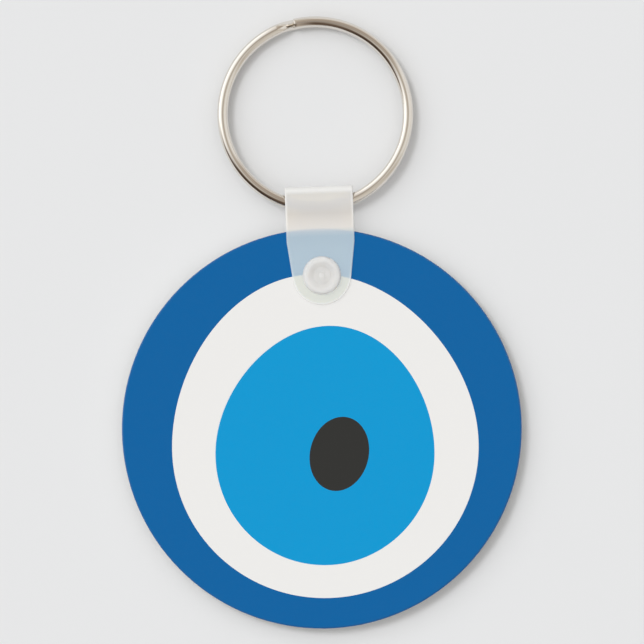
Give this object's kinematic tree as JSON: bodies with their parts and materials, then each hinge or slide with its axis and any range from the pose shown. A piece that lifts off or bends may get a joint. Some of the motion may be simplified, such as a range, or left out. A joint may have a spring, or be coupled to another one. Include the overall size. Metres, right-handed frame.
{
  "type": "evil eye keychain",
  "caption": "Round flat keychain printed with an evil eye, hung by a folded snap strap from a split key ring.",
  "frame": {"origin": "on the snap's axis, at the centre of the snap socket's flat lower face, which the keychain rests on", "axes": "+Z out of the printed face, +Y from the disc's centre towards the key ring, +X to the right seen from the front"},
  "size_m": [0.0572, 0.0876, 0.0057],
  "materials": {
    "board": "white glass-filled board, satin cut edge",
    "back_coat": "plain white gloss coat",
    "print_blue": "gloss dark blue print",
    "print_white": "gloss off-white print",
    "print_iris": "gloss light blue print",
    "print_pupil": "gloss charcoal print",
    "strap": "milky translucent soft plastic, smooth",
    "snap": "thick milky plastic, moulded smooth",
    "ring": "bright warm nickel plate on round steel wire"
  },
  "bodies": {
    "disc": {"disc_core": "board", "back_coat": "back_coat", "blue_field": "print_blue", "white_field": "print_white", "iris": "print_iris", "pupil": "print_pupil"},
    "strap": {"strap_band": "strap", "snap_stud": "snap", "snap_socket": "snap"},
    "ring": {"split_ring": "ring"}
  },
  "joints": [
    {"name": "strap_swivel", "type": "hinge", "parent": "disc", "child": "strap", "pos_m": [0, 0, 0.00275], "axis": [0, 0, 1], "range_deg": [-22.1, 17.9]},
    {"name": "ring_swing", "type": "hinge", "parent": "strap", "child": "ring", "pos_m": [-0.00039, 0.01039, 0.00275], "axis": [0.9993, 0.0375, 0], "range_deg": [-102.3, 107.7]}
  ]
}
